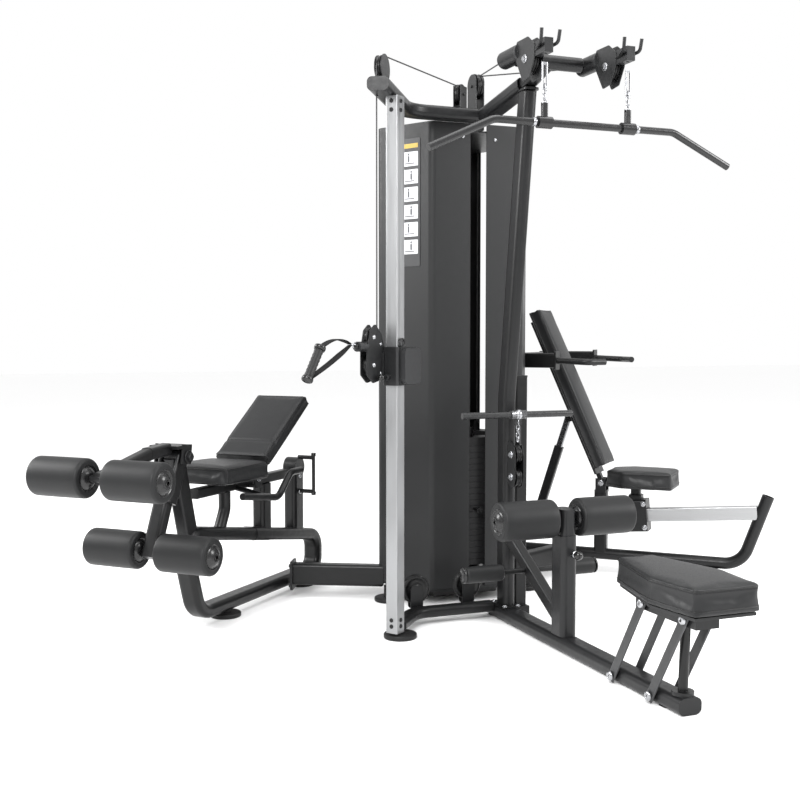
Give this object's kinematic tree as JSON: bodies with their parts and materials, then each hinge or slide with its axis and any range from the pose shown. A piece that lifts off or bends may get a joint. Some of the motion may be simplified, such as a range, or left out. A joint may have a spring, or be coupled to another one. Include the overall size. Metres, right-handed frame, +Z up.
{
  "type": "multi station home gym",
  "caption": "Gym tower with shrouded weight stacks, lat and row station, pulley column, leg station and shoulder press station on tubular frames.",
  "frame": {"origin": "on the floor, under the middle of the weight tower, at the underside of the centre foot", "axes": "+Z up; the lat and row station faces -Y, the leg station faces 225 degrees and the press station -45 degrees from +X"},
  "size_m": [3.181, 2.5806, 2.19],
  "materials": {
    "frame_coat": "satin dark charcoal powder coat",
    "shroud_coat": "satin charcoal powder coat",
    "silver": "satin anodised",
    "cheek_grey": "satin mid grey",
    "stack_black": "black powder coat",
    "chrome": "polished",
    "pulley_black": "moulded nylon",
    "knob_black": "moulded",
    "foam": "soft satin foam",
    "vinyl": "fine grain upholstery",
    "rubber_foot": "matte",
    "cable_steel": "coated wire rope",
    "strap": "woven strap with a rubber grip"
  },
  "bodies": {
    "frame": {"tower_plates": "frame_coat", "guide_rods": "chrome", "shroud_panels": "shroud_coat", "resting_plates": "stack_black", "base_tubes": "frame_coat", "feet": "rubber_foot", "knee_post": "frame_coat", "pulley_column": "silver", "top_brackets": "cheek_grey", "cables": "cable_steel", "column_cable": "cable_steel", "leg_frame": "frame_coat", "leg_seat_pad": "vinyl", "press_frame": "frame_coat", "press_rail": "silver", "lat_frame": "frame_coat"},
    "lifted_lat": {"stack_lat": "stack_black"},
    "lifted_leg": {"stack_leg": "stack_black"},
    "lifted_press": {"stack_press": "stack_black"},
    "pin_lat": {"selector_pin_lat": "knob_black"},
    "pin_leg": {"selector_pin_leg": "knob_black"},
    "pin_press": {"selector_pin_press": "knob_black"},
    "block_left": {"lat_block_left": "cheek_grey"},
    "block_right": {"lat_block_right": "cheek_grey"},
    "lat_wheel_left": {"lat_sheave_left": "pulley_black"},
    "lat_wheel_right": {"lat_sheave_right": "pulley_black"},
    "hanging_bar": {"lat_bar": "chrome", "lat_bar_hangers": "chrome"},
    "low_wheel_lower": {"low_sheave_lower": "pulley_black"},
    "low_wheel_upper": {"low_sheave_upper": "pulley_black"},
    "pull_bar": {"row_bar": "chrome"},
    "knee_holder": {"knee_slide": "frame_coat"},
    "knee_foam": {"knee_rollers": "foam"},
    "knee_catch": {"knee_pin": "knob_black"},
    "foot_foam": {"footrest_rollers": "foam"},
    "links_front": {"row_links_front": "frame_coat"},
    "links_rear": {"row_links_rear": "frame_coat"},
    "row_seat": {"row_seat_carrier": "frame_coat", "row_seat_pad": "vinyl"},
    "carriage": {"column_carriage": "cheek_grey"},
    "rig_wheel_upper": {"carriage_sheave_upper": "pulley_black"},
    "rig_wheel_lower": {"carriage_sheave_lower": "pulley_black"},
    "rig_pin": {"carriage_pin": "knob_black"},
    "handle": {"pull_handle": "strap"},
    "column_wheel": {"column_sheave": "pulley_black"},
    "tower_wheel": {"tower_sheave": "pulley_black"},
    "turn_wheel": {"turn_sheave": "pulley_black"},
    "leg_back": {"leg_back_board": "frame_coat", "leg_back_pad": "vinyl"},
    "leg_arm": {"leg_lever": "frame_coat"},
    "ankle_foam": {"ankle_rollers": "foam"},
    "hold_down": {"thigh_arm": "frame_coat"},
    "thigh_foam": {"thigh_rollers": "foam"},
    "press_seat": {"press_carriage": "frame_coat", "press_seat_pad": "vinyl"},
    "press_back": {"press_back_board": "frame_coat", "press_back_pad": "vinyl"},
    "strut_outer": {"press_strut_outer": "frame_coat"},
    "strut_inner": {"press_strut_inner": "silver"},
    "arms": {"press_arms": "frame_coat"}
  },
  "joints": [
    {"name": "lat_stack_lift", "type": "slide", "parent": "frame", "child": "lifted_lat", "axis": [0, 0, 1], "range_m": [0, 0.72]},
    {"name": "leg_stack_lift", "type": "slide", "parent": "frame", "child": "lifted_leg", "axis": [0, 0, 1], "range_m": [0, 0.3]},
    {"name": "press_stack_lift", "type": "slide", "parent": "frame", "child": "lifted_press", "axis": [0, 0, 1], "range_m": [0, 0.4]},
    {"name": "lat_selector_pin", "type": "slide", "parent": "lifted_lat", "child": "pin_lat", "axis": [0, -1, 0], "range_m": [0, 0.05]},
    {"name": "leg_selector_pin", "type": "slide", "parent": "lifted_leg", "child": "pin_leg", "axis": [-0.866, 0.5, 0], "range_m": [0, 0.05]},
    {"name": "press_selector_pin", "type": "slide", "parent": "lifted_press", "child": "pin_press", "axis": [0.866, 0.5, 0], "range_m": [0, 0.05]},
    {"name": "left_block_swivel", "type": "hinge", "parent": "frame", "child": "block_left", "pos_m": [-0.158, -0.872, 2.1], "axis": [0, -1, 0], "range_deg": [-20, 20]},
    {"name": "left_block_sheave", "type": "hinge", "parent": "block_left", "child": "lat_wheel_left", "pos_m": [-0.158, -1.025, 2.062], "axis": [1, 0, 0], "continuous": true},
    {"name": "right_block_swivel", "type": "hinge", "parent": "frame", "child": "block_right", "pos_m": [0.158, -0.872, 2.1], "axis": [0, -1, 0], "range_deg": [-20, 20]},
    {"name": "right_block_sheave", "type": "hinge", "parent": "block_right", "child": "lat_wheel_right", "pos_m": [0.158, -1.025, 2.062], "axis": [1, 0, 0], "continuous": true},
    {"name": "lat_bar_pull", "type": "slide", "parent": "frame", "child": "hanging_bar", "axis": [0, 0, -1], "range_m": [0, 0.72]},
    {"name": "low_sheave_lower_spin", "type": "hinge", "parent": "frame", "child": "low_wheel_lower", "pos_m": [0, -0.628, 0.575], "axis": [1, 0, 0], "continuous": true},
    {"name": "low_sheave_upper_spin", "type": "hinge", "parent": "frame", "child": "low_wheel_upper", "pos_m": [0, -0.628, 0.662], "axis": [1, 0, 0], "continuous": true},
    {"name": "row_bar_pull", "type": "slide", "parent": "frame", "child": "pull_bar", "axis": [0, -1, 0], "range_m": [0, 0.6]},
    {"name": "knee_height", "type": "slide", "parent": "frame", "child": "knee_holder", "axis": [0, 0, 1], "range_m": [-0.04, 0.12]},
    {"name": "knee_roller_spin", "type": "hinge", "parent": "knee_holder", "child": "knee_foam", "pos_m": [0, -1.01, 0.474], "axis": [1, 0, 0], "continuous": true},
    {"name": "knee_catch_pull", "type": "slide", "parent": "frame", "child": "knee_catch", "axis": [0, -1, 0], "range_m": [0, 0.014], "stiffness_N_per_m": 600},
    {"name": "footrest_spin", "type": "hinge", "parent": "frame", "child": "foot_foam", "pos_m": [0, -0.755, 0.236], "axis": [1, 0, 0], "continuous": true},
    {"name": "seat_link_swing", "type": "hinge", "parent": "frame", "child": "links_rear", "pos_m": [0, -1.627, 0.026], "axis": [-1, 0, 0], "range_deg": [0, 35]},
    {"name": "front_link_swing", "type": "hinge", "parent": "frame", "child": "links_front", "pos_m": [0, -1.412, 0.026], "axis": [-1, 0, 0], "range_deg": [0, 35]},
    {"name": "seat_level", "type": "hinge", "parent": "links_rear", "child": "row_seat", "pos_m": [0, -1.792, 0.3], "axis": [-1, 0, 0], "range_deg": [-35, 0]},
    {"name": "carriage_height", "type": "slide", "parent": "frame", "child": "carriage", "axis": [0, 0, 1], "range_m": [-0.75, 0.75], "deforming": ["column_cable"]},
    {"name": "rig_upper_spin", "type": "hinge", "parent": "carriage", "child": "rig_wheel_upper", "pos_m": [-0.61482, -0.6858, 1.115], "axis": [0.5664, -0.8241, 0], "continuous": true},
    {"name": "rig_lower_spin", "type": "hinge", "parent": "carriage", "child": "rig_wheel_lower", "pos_m": [-0.61482, -0.6858, 1.015], "axis": [0.5664, -0.8241, 0], "continuous": true},
    {"name": "carriage_pin_pull", "type": "slide", "parent": "carriage", "child": "rig_pin", "axis": [-0.8241, -0.5664, 0], "range_m": [0, 0.012], "stiffness_N_per_m": 600},
    {"name": "handle_pull", "type": "slide", "parent": "carriage", "child": "handle", "axis": [-0.8241, -0.5664, 0], "range_m": [0, 0.5]},
    {"name": "column_sheave_spin", "type": "hinge", "parent": "frame", "child": "column_wheel", "pos_m": [-0.5524, -0.625, 2.086], "axis": [-0.7771, 0.6293, 0], "continuous": true},
    {"name": "tower_sheave_spin", "type": "hinge", "parent": "frame", "child": "tower_wheel", "pos_m": [0, -0.255, 2.14], "axis": [1, 0, 0], "continuous": true},
    {"name": "turn_sheave_spin", "type": "hinge", "parent": "frame", "child": "turn_wheel", "pos_m": [-0.104, -0.328, 2.086], "axis": [-0.6157, 0.788, 0], "continuous": true},
    {"name": "leg_back_recline", "type": "hinge", "parent": "frame", "child": "leg_back", "pos_m": [-0.91217, 0.00707, 0.54], "axis": [-0.7071, 0.7071, 0], "range_deg": [0, 26]},
    {"name": "leg_lever_swing", "type": "hinge", "parent": "frame", "child": "leg_arm", "pos_m": [-1.26431, -0.34507, 0.677], "axis": [-0.7071, 0.7071, 0], "range_deg": [0, 40.2]},
    {"name": "ankle_roller_spin", "type": "hinge", "parent": "leg_arm", "child": "ankle_foam", "pos_m": [-1.36401, -0.44477, 0.347], "axis": [0.7071, -0.7071, 0], "continuous": true},
    {"name": "hold_down_swing", "type": "hinge", "parent": "frame", "child": "hold_down", "pos_m": [-1.26431, -0.34507, 0.677], "axis": [-0.7071, 0.7071, 0], "range_deg": [0, 35]},
    {"name": "thigh_roller_spin", "type": "hinge", "parent": "hold_down", "child": "thigh_foam", "pos_m": [-1.56271, -0.64347, 0.641], "axis": [0.7071, -0.7071, 0], "continuous": true},
    {"name": "press_seat_slide", "type": "slide", "parent": "frame", "child": "press_seat", "axis": [0.7048, -0.7048, 0.0812], "range_m": [0, 0.34]},
    {"name": "press_back_recline", "type": "hinge", "parent": "frame", "child": "press_back", "pos_m": [0.82944, 0.0898, 0.427], "axis": [-0.7071, -0.7071, 0], "range_deg": [-6, 6]},
    {"name": "strut_swing", "type": "hinge", "parent": "frame", "child": "strut_outer", "pos_m": [0.61165, 0.30759, 0.274], "axis": [-0.7071, -0.7071, 0], "range_deg": [-3.2, 3.2]},
    {"name": "strut_slide", "type": "slide", "parent": "strut_outer", "child": "strut_inner", "axis": [0.2091, -0.2091, 0.9553], "range_m": [-0.027, 0.027]},
    {"name": "press_arm_swing", "type": "hinge", "parent": "frame", "child": "arms", "pos_m": [0.49497, 0.42426, 1.01], "axis": [-0.7071, -0.7071, 0], "range_deg": [0, 50.2]}
  ],
  "couplings": [
    {"joint": "lat_bar_pull", "follows": "lat_stack_lift", "ratio": 1},
    {"joint": "front_link_swing", "follows": "seat_link_swing", "ratio": 1},
    {"joint": "seat_level", "follows": "seat_link_swing", "ratio": -1},
    {"joint": "leg_lever_swing", "follows": "leg_stack_lift", "rad_per_m": 2.3271},
    {"joint": "strut_swing", "follows": "press_back_recline", "ratio": 0.50485},
    {"joint": "strut_slide", "follows": "press_back_recline", "m_per_rad": -0.24898},
    {"joint": "press_arm_swing", "follows": "press_stack_lift", "rad_per_m": 2.1817}
  ]
}
